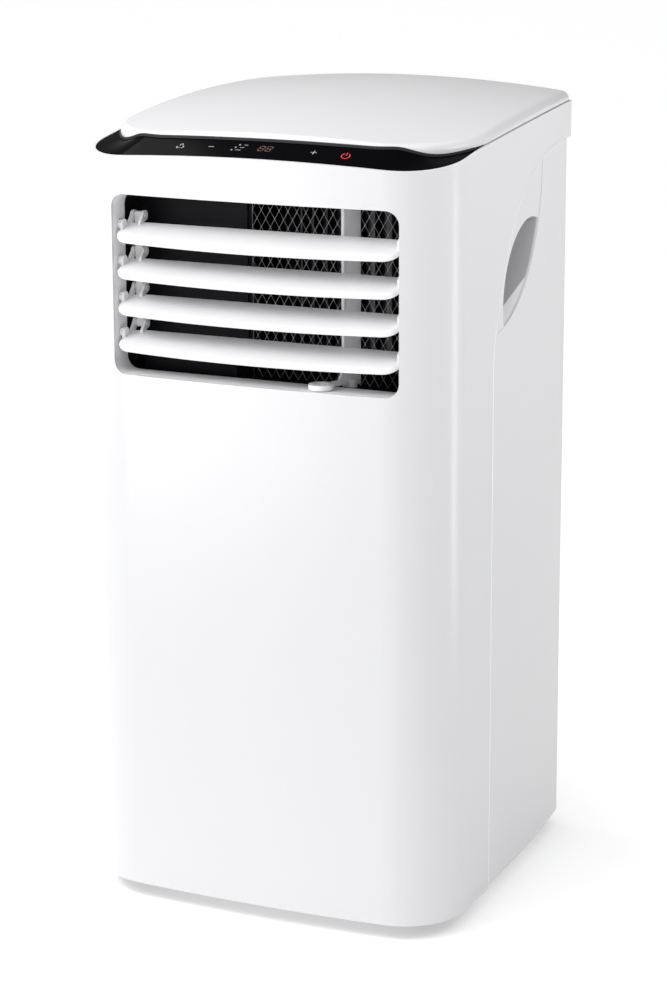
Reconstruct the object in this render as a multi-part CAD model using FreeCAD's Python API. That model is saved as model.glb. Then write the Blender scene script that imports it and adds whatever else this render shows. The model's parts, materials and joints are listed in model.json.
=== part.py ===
import FreeCAD, Part
import math
import os
from FreeCAD import Vector, Placement, Rotation

# Portable air conditioner, in millimetres.
# Origin: on the floor under the middle of the overall box.  +X right, +Y to the rear, +Z up.

# --- Casing ---------------------------------------------------------------------------------------
HALF_WIDTH = 172.5
FRONT_Y = -177.5
REAR_Y = 164.35
FRONT_BULGE = 9.13
FRONT_CORNER = 55.6
REAR_CORNER = 12.0
BAND_STEP = 4.0
BAND_CORNER = 6.0
SEAM_Y = -57.0
SIDE_RADIUS = 1686.5
WALL = 2.5
GAP = 0.4
REAR_SHELL_INSET = 1.85
SHELL_FOOT = 14.0
REAR_FOOT = 16.0
ABOVE = 760.0

# --- Side seam and grip ---------------------------------------------------------------------------
SEAM_STRAIGHT_TOP = 490.0
BAND_BOTTOM = 662.0
GRIP_RIM = [(-24.0, 521.0), (40.0, 564.0), (71.5, 640.0)]
GRIP_CENTRE = (12.0, 562.0)
GRIP_DEPTH = 33.0
SLIT_LOW = 524.0
SLIT_HIGH = 638.0
SLIT_CLOSED = 0.05

# --- Top ------------------------------------------------------------------------------------------
RIM_REAR_Z = 693.5
RIM_DROP = 18.5
RIM_CROWN = 4.0
RIM_DIP = 5.5
LID_FRONT_Y = -148.0
LID_CORNER = 82.0
LID_EDGE = 7.5
LID_CREST_Z = 712.6
LID_INSET = 1.5
PANEL_SLOPE = 0.268
SEAL_WIDTH = 1.4
SEAL_HEIGHT = 1.8

# --- Air outlet -----------------------------------------------------------------------------------
OUTLET_HALF = 134.0
OUTLET_LOW = 481.0
OUTLET_HIGH = 637.0
OUTLET_CORNER = 12.0
BEZEL_BACK = -147.0
DUCT_BACK = -117.0
DUCT_FLOOR = 476.0
MESH_LEFT = -30.0
MESH_CELL = 8.6
MESH_CELL_HEIGHT = 14.5
MESH_WIRE_R = 0.45
LOUVRE_COUNT = 4
LOUVRE_TOP_Z = 609.0
LOUVRE_PITCH = 31.4
LOUVRE_PIVOT_Y = -157.5
LOUVRE_TILT = 21.0
LOUVRE_HALF = 132.0
LOUVRE_NOSE = -25.5
LOUVRE_BOW = 6.0
LOUVRE_TAIL = 13.2
LOUVRE_FACE = -2.4
LOUVRE_BELLY = -8.0
LOUVRE_CORNER = 14.0
LOUVRE_LIP = 2.6
TIE_REACH = 18.5
TIE_DROP = -1.0
TIE_X = -124.0
VANE_X = 72.5
VANE_Y = -129.8
VANE_DEPTH = 21.0
VANE_SWING = 21.6
VANE_FOOT = 480.0
RING_REACH = 35.5
PIN_CLEARANCE = 0.05

# --- Inside ---------------------------------------------------------------------------------------
BASE_Z = 40.0
TRAY_Z = 408.0
UPPER_FAN = (35.0, 5.0)
UPPER_WHEEL_R = 85.0
LOWER_FAN = (20.0, 170.0)
LOWER_WHEEL_R = 80.0
EXHAUST = (-45.0, 335.0)
COLLAR_BORE_R = 66.0
COLLAR_WALL = 4.0
COLLAR_END = 179.69
COMPRESSOR = (-100.0, -60.0)
COMPRESSOR_R = 56.0
ACCUMULATOR = (-35.0, -125.0)
EVAPORATOR = ((-126.0, 112.0, 424.0), (124.0, 140.0, 636.0))
CONDENSER = ((-118.0, 112.0, 70.0), (98.0, 142.0, 260.0))

# --- Castors --------------------------------------------------------------------------------------
WHEEL_R = 16.0
WHEEL_WIDTH = 15.0
CASTOR_TRAIL = 9.0
CASTOR_PLACES = [(-135.0, -125.0), (135.0, -125.0), (-120.0, 122.0), (120.0, 122.0)]


def box(low, high):
    """Box between two corners."""
    size = [b - a for a, b in zip(low, high)]
    return Part.makeBox(size[0], size[1], size[2], Vector(*low))


def rod(radius, start, end):
    """Cylinder between two points."""
    a = Vector(*start)
    b = Vector(*end)
    return Part.makeCylinder(radius, a.distanceToPoint(b), a, b - a)


def tube(outer, inner, start, end):
    """Hollow cylinder between two points."""
    return rod(outer, start, end).cut(rod(inner, start, end))


def rounded_box(low, high, radius, axis):
    """Box with the four edges along one axis (0, 1 or 2) rounded."""
    solid = box(low, high)
    edges = []
    for edge in solid.Edges:
        run = edge.Vertexes[1].Point - edge.Vertexes[0].Point
        if abs(abs(run[axis]) - run.Length) < 1e-6:
            edges.append(edge)
    return solid.makeFillet(radius, edges)


def prism(points, low, high, axis):
    """Straight prism on a polygon, along one axis; points give the other two axes in order."""
    corners = []
    for pair in points + points[:1]:
        place = list(pair)
        place.insert(axis, low)
        corners.append(Vector(*place))
    run = [0.0, 0.0, 0.0]
    run[axis] = high - low
    return Part.Face(Part.makePolygon(corners)).extrude(Vector(*run))


def outline_edges(inset, front_y, back_y):
    """Plan outline before its corners are rounded, with the two corner depths."""
    front_radius = (HALF_WIDTH ** 2 + FRONT_BULGE ** 2) / (2 * FRONT_BULGE)
    side = HALF_WIDTH - inset
    front_corner_y = front_y + front_radius - math.sqrt((front_radius - inset) ** 2 - side ** 2)
    rear_y = back_y - inset
    arc_centre = HALF_WIDTH - SIDE_RADIUS
    arc_radius = SIDE_RADIUS - inset

    def side_x(y):
        return arc_centre + math.sqrt(arc_radius ** 2 - (y - SEAM_Y) ** 2)

    middle_y = (SEAM_Y + rear_y) / 2
    edges = [Part.Arc(Vector(-side, front_corner_y), Vector(0, front_y + inset),
                      Vector(side, front_corner_y)).toShape()]
    edges.append(Part.makeLine(Vector(side, front_corner_y), Vector(side, SEAM_Y)))
    edges.append(Part.Arc(Vector(side, SEAM_Y), Vector(side_x(middle_y), middle_y),
                          Vector(side_x(rear_y), rear_y)).toShape())
    edges.append(Part.makeLine(Vector(side_x(rear_y), rear_y), Vector(-side_x(rear_y), rear_y)))
    edges.append(Part.Arc(Vector(-side_x(rear_y), rear_y), Vector(-side_x(middle_y), middle_y),
                          Vector(-side, SEAM_Y)).toShape())
    edges.append(Part.makeLine(Vector(-side, SEAM_Y), Vector(-side, front_corner_y)))
    return edges, front_corner_y, rear_y


def body_block(inset, low, high, front_y=FRONT_Y, front_corner=FRONT_CORNER, back_y=REAR_Y,
               rear_corner=REAR_CORNER):
    """Solid with the casing's plan shape, drawn in by inset on every side."""
    edges, front_corner_y, rear_y = outline_edges(inset, front_y, back_y)
    face = Part.Face(Part.Wire(edges))
    solid = face.extrude(Vector(0, 0, high - low))
    solid.translate(Vector(0, 0, low))
    for corner_y, radius in ((front_corner_y, front_corner - inset), (rear_y, rear_corner - inset)):
        corners = []
        for edge in solid.Edges:
            a, b = (vertex.Point for vertex in edge.Vertexes)
            if (a - b).cross(Vector(0, 0, 1)).Length < 1e-6 and abs(a.y - corner_y) < 1e-4:
                corners.append(edge)
        solid = solid.makeFillet(max(radius, 2.0), corners)
    return solid


def shell_block(inset, thickness, low, high):
    """Open tube with the casing's plan shape."""
    return body_block(inset, low, high).cut(body_block(inset + thickness, low - 1, high + 1))


def band_block(inset, low, high):
    """Solid with the plan shape of the casing's top band, which stands further to the rear."""
    return body_block(inset, low, high, FRONT_Y, FRONT_CORNER, REAR_Y + BAND_STEP, BAND_CORNER)


def sheet(height, rise):
    """Solid between a curved height field and the same field moved up or down by rise."""
    rows = []
    for j in range(29):
        y = -200.0 + 14.0 * j
        rows.append([Vector(x, y, height(x, y)) for x in range(-190, 191, 10)])
    surface = Part.BSplineSurface()
    surface.interpolate(rows)
    return surface.toShape().extrude(Vector(0, 0, rise))


def rim_height(x, y):
    """Top edge of the casing: lowest at its front corners, slightly crowned across."""
    back = (160.0 - y) / 296.0
    across = (x / HALF_WIDTH) ** 2
    ahead = max(0.0, (-60.0 - y) / 117.0)
    return RIM_REAR_Z - RIM_DROP * back * back + RIM_CROWN * (1 - across) - RIM_DIP * across * ahead * ahead


def lid_height(x, y):
    """Domed top of the lid."""
    return LID_CREST_Z - 22.1 * ((110.0 - y) / 253.0) ** 2 - 7.1 * (x / 138.0) ** 2


def edge_distance(x, y):
    """Distance in from the front and sides of the casing."""
    centre_x = HALF_WIDTH - FRONT_CORNER
    centre_y = FRONT_Y + FRONT_CORNER
    fall = FRONT_BULGE * (x / HALF_WIDTH) ** 2
    over_x = abs(x) - centre_x
    over_y = centre_y + fall - y
    if over_x > 0 and over_y > 0:
        return FRONT_CORNER - math.hypot(over_x, over_y)
    return FRONT_CORNER - max(over_x, over_y)


def panel_height(x, y):
    """Control strip: rises inwards from the rim, and flattens out round the corners."""
    fade = min(1.0, max(0.0, (154.0 - abs(x)) / 42.0))
    slope = PANEL_SLOPE * fade * fade * (3 - 2 * fade)
    return rim_height(x, y) + slope * edge_distance(x, y) - 0.6


def front_zone():
    """Everything in front of and above the side seam."""
    points = [Vector(0, SEAM_Y, SEAM_STRAIGHT_TOP), Vector(0, -45, 536), Vector(0, -17, 597.5),
              Vector(0, 38, 644.5), Vector(0, 91, 659.4), Vector(0, 154, BAND_BOTTOM)]
    seam = Part.BSplineCurve()
    seam.interpolate(points, InitialTangent=Vector(0, 0, 1), FinalTangent=Vector(0, 1, 0))
    corners = [points[-1], Vector(0, 260, BAND_BOTTOM), Vector(0, 260, ABOVE), Vector(0, -260, ABOVE),
               Vector(0, -260, 0), Vector(0, SEAM_Y, 0), points[0]]
    wire = Part.Wire([seam.toShape()] + Part.makePolygon(corners).Edges)
    zone = Part.Face(wire).extrude(Vector(400, 0, 0))
    zone.translate(Vector(-200, 0, 0))
    return zone


def grip_arc():
    """Centre and radius of the round edge of the grip, in the Y-Z plane."""
    rim = Part.Arc(*[Vector(0, y, z) for y, z in GRIP_RIM]).toShape().Curve
    return rim.Center, rim.Radius


def grip_circle(grow):
    """Round zone of the grip, right through the casing along X."""
    centre, radius = grip_arc()
    return rod(radius + grow, (-200, centre.y, centre.z), (200, centre.y, centre.z))


def outlet_prism(grow, y_low, y_high):
    """Rounded rectangle of the air outlet, along Y."""
    low = (-OUTLET_HALF - grow, y_low, OUTLET_LOW - grow)
    high = (OUTLET_HALF + grow, y_high, OUTLET_HIGH + grow)
    return rounded_box(low, high, OUTLET_CORNER + grow, 1)


def louvre_heights():
    """Pivot heights of the louvres, top to bottom."""
    return [LOUVRE_TOP_Z - LOUVRE_PITCH * i for i in range(LOUVRE_COUNT)]


def front_shell():
    """Front and side casing with the band that runs round the top of the rear."""
    shell = band_block(0, SHELL_FOOT, ABOVE - 20).cut(band_block(WALL, SHELL_FOOT - 1, ABOVE))
    ledge = band_block(0, BAND_BOTTOM, BAND_BOTTOM + WALL).cut(body_block(REAR_SHELL_INSET - GAP, 600, 700))
    shell = shell.fuse(ledge.common(box((-200, 150, 600), (200, 200, 700))))
    shell = shell.common(front_zone())
    shell = shell.common(sheet(rim_height, -700))
    shell = shell.cut(outlet_prism(0, -200, -100))
    return shell


def rear_openings():
    """Holes in the rear casing: intakes, exhaust, drains, cord gland and screws."""
    tools = [rounded_box((-130, 140, 450), (130, 190, 640), 6, 1)]
    tools.append(rounded_box((-130, 140, 66), (100, 190, 250), 6, 1))
    tools.append(rod(COLLAR_BORE_R + COLLAR_WALL + 0.5, (EXHAUST[0], 140, EXHAUST[1]),
                     (EXHAUST[0], 190, EXHAUST[1])))
    tools.append(rod(8, (112, 140, 421), (112, 190, 421)))
    tools.append(rod(8, (118, 140, 52), (118, 190, 52)))
    tools.append(rod(9.2, (124, 140, 110), (124, 190, 110)))
    for x, z in screw_places():
        tools.append(rod(1.7, (x, 140, z), (x, 190, z)))
    return tools


def screw_places():
    """Screws in the rear casing."""
    return [(side * 141, z) for side in (-1, 1) for z in (60, 290, 432, 646)]


def rear_shell():
    """Rear casing, set in a little from the front casing."""
    shell = shell_block(REAR_SHELL_INSET, WALL, REAR_FOOT, BAND_BOTTOM + 10)
    ahead = front_zone()
    ahead.translate(Vector(0, GAP, -GAP))
    shell = shell.cut(ahead)
    shell = shell.cut(grip_circle(GAP))
    for tool in rear_openings():
        shell = shell.cut(tool)
    return shell


def grip_leaf(x, scale, lift):
    """Leaf-shaped outline of the grip pocket at one depth."""
    centre, radius = grip_arc()

    def place(y, z):
        from_y = y - GRIP_CENTRE[0]
        from_z = z - GRIP_CENTRE[1]
        return Vector(x, GRIP_CENTRE[0] + from_y * scale, GRIP_CENTRE[1] + from_z * scale + lift)

    def on_rim(z):
        return place(centre.y + math.sqrt(radius ** 2 - (z - centre.z) ** 2), z)

    tip = on_rim(601)
    heel = on_rim(521)
    toe = place(-28, 526.5)
    upper = Part.Arc(tip, place(-7, 586), toe).toShape()
    corner = Part.Arc(toe, place(-27.5, 521.8), heel).toShape()
    lower = Part.Arc(heel, on_rim(557), tip).toShape()
    return Part.Wire([upper, corner, lower])


def handle_cup():
    """Grip plate and pocket on the right side."""
    face_inset = REAR_SHELL_INSET + 0.3
    ahead = front_zone()
    ahead.translate(Vector(0, 2 * GAP, -2 * GAP))
    side = box((100, -100, 480), (200, 120, 700))
    skin = shell_block(face_inset, WALL, 480, 700).common(side)
    slit_ends = skin.common(grip_circle(GAP - SLIT_CLOSED))
    slit_ends = slit_ends.cut(box((100, -100, SLIT_LOW), (200, 120, SLIT_HIGH)))
    plate = skin.common(grip_circle(0)).fuse(slit_ends).cut(ahead)
    outer = [grip_leaf(173, 1.20, 0), grip_leaf(173 - GRIP_DEPTH - WALL, 0.88, 6)]
    wall = Part.makeLoft(outer, True, True)
    under_plate = body_block(face_inset, 480, 700).common(grip_circle(0))
    behind_shell = body_block(REAR_SHELL_INSET + WALL + 0.3, 480, 700)
    wall = wall.common(under_plate.fuse(behind_shell))
    inner = [grip_leaf(173, 1.06, 0), grip_leaf(173 - GRIP_DEPTH, 0.72, 6)]
    pocket = Part.makeLoft(inner, True, True)
    return plate.fuse(wall).cut(pocket).removeSplitter()


def lid_plan(inset, low, high):
    """Plan shape of the lid: the casing outline with its front drawn back."""
    return body_block(inset, low, high, LID_FRONT_Y, LID_CORNER, REAR_Y + BAND_STEP)


def top_lid():
    """Domed lid with a rounded edge and a skirt that plugs into the casing."""
    dome = lid_plan(LID_INSET, 640, ABOVE).common(sheet(lid_height, -100))
    edges = []
    for edge in dome.Edges:
        if all(vertex.Point.z > lid_height(vertex.Point.x, vertex.Point.y) - 0.2
               for vertex in edge.Vertexes):
            edges.append(edge)
    dome = dome.makeFillet(LID_EDGE, edges)
    hollow = lid_plan(LID_INSET + 4.5, 600, ABOVE).common(sheet(lambda x, y: lid_height(x, y) - 3.5, -150))
    crown = dome.cut(hollow)
    crown = crown.cut(sheet(lambda x, y: rim_height(x, y) + 0.9, -150))
    skirt = lid_plan(WALL + 0.4, 600, ABOVE).cut(lid_plan(WALL + 4.4, 590, ABOVE + 10))
    skirt = skirt.common(sheet(lambda x, y: rim_height(x, y) + 2.0, -9.5))
    skirt = skirt.cut(box((-200, -260, 600), (200, -74, ABOVE)))
    return crown.fuse(skirt).removeSplitter()


def control_panel():
    """Black touch strip between the casing's front rim and the lid."""
    strip = body_block(WALL + 0.3, 640, 720).cut(lid_plan(LID_INSET - GAP, 630, 730))
    strip = strip.cut(box((-200, -78, 600), (200, 260, 760)))
    return strip.common(sheet(panel_height, -2.4))


def lid_seal():
    """Dark rubber bead along the front edge of the lid, on the control strip."""
    bead = lid_plan(LID_INSET - SEAL_WIDTH, 640, 720).cut(lid_plan(LID_INSET, 630, 730))
    bead = bead.common(body_block(WALL + 0.6, 640, 720)).cut(box((-200, -90, 600), (200, 260, 760)))
    return bead.common(sheet(lambda x, y: panel_height(x, y) + SEAL_HEIGHT, -SEAL_HEIGHT))


def display_board():
    """Circuit board under the touch strip."""
    board = box((-75, -168, 658), (75, -151, 659.6))
    chips = [box((x, -165, 659.6), (x + 9, -156, 662)) for x in (-60, -25, 10, 45)]
    return board.multiFuse(chips)


def outlet_bezel():
    """Frame that lines the outlet and carries the louvre pivots."""
    frame = outlet_prism(WALL, -200, BEZEL_BACK).cut(outlet_prism(0, -210, BEZEL_BACK + 10))
    for side in (-1, 1):
        wall_x = side * (OUTLET_HALF + WALL)
        for z in louvre_heights():
            frame = frame.fuse(rod(6, (wall_x - side, LOUVRE_PIVOT_Y, z),
                                   (wall_x + 4 * side, LOUVRE_PIVOT_Y, z)))
            frame = frame.cut(rod(2.5 + PIN_CLEARANCE, (side * 120, LOUVRE_PIVOT_Y, z),
                                  (side * 150, LOUVRE_PIVOT_Y, z)))
    return frame.common(body_block(WALL + 0.1, 400, 700))


def duct_prism(grow, y_low, y_high):
    """Rounded rectangle of the duct, which is deeper than the outlet at its floor."""
    low = (-OUTLET_HALF - grow, y_low, DUCT_FLOOR - grow)
    high = (OUTLET_HALF + grow, y_high, OUTLET_HIGH + grow)
    return rounded_box(low, high, OUTLET_CORNER + grow, 1)


def outlet_duct():
    """Dark duct behind the bezel, closed on its left by a baffle."""
    front = BEZEL_BACK + 0.2
    duct = duct_prism(WALL, front, DUCT_BACK).cut(duct_prism(0, front + 2, -50))
    duct = duct.cut(outlet_prism(0, -200, front + 3))
    baffle = box((-OUTLET_HALF - 1, DUCT_BACK - WALL, DUCT_FLOOR - 1),
                 (MESH_LEFT, DUCT_BACK, OUTLET_HIGH + 1))
    baffle = baffle.common(duct_prism(1, -200, -50))
    ledge = box((-OUTLET_HALF + 8, DUCT_BACK - 14, DUCT_FLOOR - 1),
                (MESH_LEFT - 6, DUCT_BACK - 2, DUCT_FLOOR + 15))
    duct = duct.fuse(baffle).fuse(ledge)
    for low in (DUCT_FLOOR - WALL - 4, OUTLET_HIGH + WALL):
        duct = duct.fuse(rod(6, (VANE_X, VANE_Y, low), (VANE_X, VANE_Y, low + 4)))
    duct = duct.cut(rod(2.5 + PIN_CLEARANCE, (VANE_X, VANE_Y, 465), (VANE_X, VANE_Y, 650)))
    return duct.removeSplitter()


def louvre():
    """One louvre about its pivot: u to the rear, w up, level, pivot on the X axis above the blade."""
    shoulder = LOUVRE_NOSE + LOUVRE_BOW
    nose = Part.Arc(Vector(-LOUVRE_HALF, shoulder, LOUVRE_BELLY), Vector(0, LOUVRE_NOSE, LOUVRE_BELLY),
                    Vector(LOUVRE_HALF, shoulder, LOUVRE_BELLY)).toShape()
    back = Part.makePolygon([Vector(LOUVRE_HALF, shoulder, LOUVRE_BELLY),
                             Vector(LOUVRE_HALF, LOUVRE_TAIL + 12, LOUVRE_BELLY),
                             Vector(-LOUVRE_HALF, LOUVRE_TAIL + 12, LOUVRE_BELLY),
                             Vector(-LOUVRE_HALF, shoulder, LOUVRE_BELLY)])
    plan = Part.Face(Part.Wire([nose] + back.Edges))
    slab = plan.extrude(Vector(0, 0, LOUVRE_FACE - LOUVRE_BELLY))
    corners = [edge for edge in slab.Edges
               if abs(edge.Vertexes[0].Point.y - shoulder) < 1e-6
               and abs(edge.Vertexes[0].Point.z - edge.Vertexes[1].Point.z) > 1]
    slab = slab.makeFillet(LOUVRE_CORNER, corners)
    rims = [edge for edge in slab.Edges
            if abs(edge.Vertexes[0].Point.z - edge.Vertexes[1].Point.z) < 1e-6
            and edge.CenterOfMass.y < LOUVRE_TAIL + 11]
    slab = slab.makeFillet(LOUVRE_LIP, rims)
    crest = Vector(-200, -16, LOUVRE_FACE)
    taper = Part.Arc(crest, Vector(-200, 0, -3.2), Vector(-200, LOUVRE_TAIL, -4.9)).toShape()
    corners = [Vector(-200, LOUVRE_TAIL, -4.9), Vector(-200, LOUVRE_TAIL, -6.9),
               Vector(-200, -12, LOUVRE_BELLY), Vector(-200, -40, LOUVRE_BELLY),
               Vector(-200, -40, LOUVRE_FACE), crest]
    section = Part.Face(Part.Wire([taper] + Part.makePolygon(corners).Edges))
    blade = slab.common(section.extrude(Vector(400, 0, 0)))
    for side in (-1, 1):
        inner = side * (LOUVRE_HALF - 3.5)
        outer = side * (LOUVRE_HALF - 0.5)
        cheek = prism([(-5, -6), (6, -6), (3.5, 3), (-3.5, 3)], min(inner, outer), max(inner, outer), 0)
        blade = blade.fuse(cheek)
        blade = blade.fuse(rod(3.8, (inner, 0, 0), (side * (OUTLET_HALF - 0.5), 0, 0)))
        blade = blade.fuse(rod(2.5, (inner, 0, 0), (side * (OUTLET_HALF + 5), 0, 0)))
    return add_clip(blade)


def add_clip(blade):
    """Two ears at the louvre's back edge that hold a pin of the tie bar."""
    blade = blade.cut(box((TIE_X - 3.8, LOUVRE_TAIL - 1.5, -10), (TIE_X + 3.8, LOUVRE_TAIL + 5, 5)))
    for x in (TIE_X - 6.5, TIE_X + 4):
        ear = rod(4.4, (x, TIE_REACH, TIE_DROP), (x + 2.5, TIE_REACH, TIE_DROP))
        neck = prism([(LOUVRE_TAIL - 7, -6), (TIE_REACH, -5), (TIE_REACH, 3), (LOUVRE_TAIL - 5, -2)],
                     x, x + 2.5, 0)
        blade = blade.fuse(ear.fuse(neck))
    return blade.cut(rod(1.6 + PIN_CLEARANCE, (TIE_X - 20, TIE_REACH, TIE_DROP),
                         (TIE_X + 20, TIE_REACH, TIE_DROP)))


def placed_louvre(z):
    """Louvre tilted down to the front at its pivot."""
    blade = louvre()
    blade.Placement = Placement(Vector(0, LOUVRE_PIVOT_Y, z), Rotation(Vector(1, 0, 0), LOUVRE_TILT))
    return blade


def tie_points():
    """Centres of the tie bar's pins."""
    tilt = math.radians(LOUVRE_TILT)
    y = LOUVRE_PIVOT_Y + TIE_REACH * math.cos(tilt) - TIE_DROP * math.sin(tilt)
    rise = TIE_REACH * math.sin(tilt) + TIE_DROP * math.cos(tilt)
    return [(y, z + rise) for z in louvre_heights()]


def louvre_tie_bar():
    """Upright bar that joins the louvres behind their left ends."""
    points = tie_points()
    y = points[0][0]
    low = (TIE_X - 3.2, y - 1.9, points[-1][1] - 3.5)
    high = (TIE_X + 3.2, y + 1.9, points[0][1] + 3.5)
    bar = rounded_box(low, high, 1.8, 0)
    for pin_y, pin_z in points:
        bar = bar.fuse(rod(1.6, (TIE_X - 7.2, pin_y, pin_z), (TIE_X + 7.2, pin_y, pin_z)))
    return bar


def vertical_vane():
    """Upright vane, swung a little to the left, with a finger ring at its foot."""
    half = VANE_DEPTH / 2
    top = OUTLET_HIGH - 1.5
    plate = rounded_box((-1.3, -half, VANE_FOOT), (1.3, half, top), 1.2, 2)
    bead = rod(1.7, (0, -half + 1.2, VANE_FOOT + 22), (0, -half + 1.2, top))
    foot = tube(5, 2.0, (0, 0, VANE_FOOT - 1.5), (0, 0, VANE_FOOT + 5))
    cap = rod(4, (0, 0, top - 4), (0, 0, top + 0.5))
    foot_pin = rod(2.5, (0, 0, DUCT_FLOOR - 5), (0, 0, VANE_FOOT + 4))
    top_pin = rod(2.5, (0, 0, top - 3), (0, 0, OUTLET_HIGH + 5))
    ring_z = OUTLET_LOW + 0.8
    ring = tube(10.8, 6.8, (0, -RING_REACH, ring_z), (0, -RING_REACH, ring_z + 4.2))
    arm = box((-1.6, -RING_REACH + 8.4, ring_z), (1.6, -half + 3, ring_z + 4.2))
    gusset = prism([(-half - 8, ring_z), (-half + 3, ring_z), (-half + 3, ring_z + 22), (-half, ring_z + 20),
                    (-half - 2, ring_z + 9)], -1.2, 1.2, 0)
    vane = plate.multiFuse([bead, foot, cap, foot_pin, top_pin, ring, arm, gusset])
    vane.Placement = Placement(Vector(VANE_X, VANE_Y, 0), Rotation(Vector(0, 0, 1), -VANE_SWING))
    return vane


def mesh_wires(low_x, high_x, low_z, high_z, y, slope, radius):
    """Parallel slanting wires clipped to a rectangle."""
    pitch = MESH_CELL
    rise = MESH_CELL_HEIGHT / MESH_CELL * slope
    wires = []
    reach = (high_z - low_z) / abs(rise)
    count = int((high_x - low_x + reach) / pitch)
    for i in range(count + 1):
        x_low = (low_x - reach if slope > 0 else low_x) + pitch * (i + 0.5)
        ends = []
        for x in (x_low, x_low + (high_z - low_z) / rise):
            x_in = min(max(x, low_x), high_x)
            ends.append((x_in, y, low_z + (x_in - x_low) * rise))
        if abs(ends[0][0] - ends[1][0]) > 3:
            wires.append(rod(radius, ends[0], ends[1]))
    return wires


def guard_mesh():
    """Wire guard between the outlet duct and the upper fan."""
    y = DUCT_BACK + 0.2
    low = (MESH_LEFT, y, DUCT_FLOOR - WALL)
    high = (OUTLET_HALF + WALL, y + 3, OUTLET_HIGH + WALL)
    inner_low = (low[0] + 3, y - 5, low[2] + 3)
    inner_high = (high[0] - 3, y + 8, high[2] - 3)
    frame = box(low, high).cut(box(inner_low, inner_high))
    window = (inner_low[0] + 0.4, inner_high[0] - 0.4, inner_low[2] + 0.4, inner_high[2] - 0.4)
    parts = [frame]
    parts += mesh_wires(*window, y + 1.0, 1, MESH_WIRE_R)
    parts += mesh_wires(*window, y + 2.0, -1, MESH_WIRE_R)
    return Part.makeCompound(parts)


def fan_wheel(radius, height, blades, shaft):
    """Centrifugal wheel on the Z axis: backplate at z = 0, shaft downwards."""
    inner = radius * 0.8
    arc_out = Part.Arc(Vector(inner, -4), Vector(inner + 10, -2.4), Vector(radius - 0.8, 5)).toShape()
    arc_in = Part.Arc(Vector(radius - 1.6, 6.2), Vector(inner + 9.6, -1.1), Vector(inner, -2.6)).toShape()
    section = Part.Wire([arc_out, Part.makeLine(Vector(radius - 0.8, 5), Vector(radius - 1.6, 6.2)), arc_in,
                         Part.makeLine(Vector(inner, -2.6), Vector(inner, -4))])
    blade = Part.Face(section).extrude(Vector(0, 0, height))
    blade.translate(Vector(0, 0, 2.5))
    pieces = []
    for i in range(blades):
        turned = blade.copy()
        turned.rotate(Vector(), Vector(0, 0, 1), 360.0 * i / blades)
        pieces.append(turned)
    pieces.append(tube(radius, radius - 9, (0, 0, height + 2.5), (0, 0, height + 6)))
    pieces.append(rod(14, (0, 0, -2), (0, 0, 26)))
    pieces.append(rod(4, (0, 0, -shaft), (0, 0, 0)))
    return Part.makeCylinder(radius, 2.5).multiFuse(pieces)


def upper_impeller():
    """Upright fan wheel behind the outlet guard."""
    wheel = fan_wheel(UPPER_WHEEL_R, 146, 36, 52)
    wheel.translate(Vector(UPPER_FAN[0], UPPER_FAN[1], 480))
    return wheel


def lower_impeller():
    """Fan wheel for the condenser, its axis along Y."""
    wheel = fan_wheel(LOWER_WHEEL_R, 44, 36, 60)
    wheel.Placement = Placement(Vector(LOWER_FAN[0], 41, LOWER_FAN[1]), Rotation(Vector(1, 0, 0), -90))
    return wheel


def upper_scroll_case():
    """Casing round the upper fan wheel, open to the front."""
    x, y = UPPER_FAN
    front = DUCT_BACK + 3.4

    def cavity(grow, low, high):
        radius = UPPER_WHEEL_R + 8 + grow
        sides = prism([(x + radius, y), (x + radius, front), (MESH_LEFT - grow, front), (x - radius, -40),
                       (x - radius, y)], low, high, 2)
        return sides.fuse(rod(radius, (x, y, low), (x, y, high))).removeSplitter()

    case = cavity(WALL, 472, 645).cut(cavity(0, 474.5, 642.5))
    case = case.cut(box((MESH_LEFT, front - 5, 474.5), (x + UPPER_WHEEL_R + 8, front + 3, 642.5)))
    case = case.cut(rod(70, (x, y, 640), (x, y, 650)))
    return case.cut(rod(16, (x, y, 460), (x, y, 480)))


def fan_motor(length):
    """Motor can with a shaft hole, on the Z axis, top face at z = 0."""
    can = Part.makeCylinder(46, length, Vector(0, 0, -length))
    can = can.makeFillet(6, [edge for edge in can.Edges if edge.Length > 200 and edge.Closed])
    boss = rod(18, (0, 0, -2), (0, 0, 3))
    lugs = [box((-56, -7, -length / 2 - 3), (56, 7, -length / 2 + 3)),
            box((-7, -56, -length / 2 - 3), (7, 56, -length / 2 + 3))]
    motor = can.fuse(boss).multiFuse(lugs)
    return motor.cut(rod(4 + PIN_CLEARANCE, (0, 0, -length - 10), (0, 0, 10)))


def upper_fan_motor():
    """Motor under the upper fan."""
    motor = fan_motor(50)
    motor.translate(Vector(UPPER_FAN[0], UPPER_FAN[1], 466))
    return motor


def lower_fan_motor():
    """Motor in front of the lower fan."""
    motor = fan_motor(56)
    motor.Placement = Placement(Vector(LOWER_FAN[0], 29, LOWER_FAN[1]), Rotation(Vector(1, 0, 0), -90))
    return motor


def lower_scroll_case():
    """Casing round the lower fan wheel, with its outlet upwards on the left."""
    x, z = LOWER_FAN

    def cavity(grow, front, rear):
        radius = LOWER_WHEEL_R + 8 + grow
        throat = box((x - radius, front, z), (-8 + grow, rear, 264))
        return rod(radius, (x, front, z), (x, rear, z)).fuse(throat)

    case = cavity(WALL, 36, 101).cut(cavity(0, 38.5, 98.5).fuse(box((-68, 38.5, 200), (-8, 98.5, 280))))
    case = case.cut(rod(62, (x, 95, z), (x, 110, z)))
    return case.cut(rod(16, (x, 30, z), (x, 40, z)))


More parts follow.
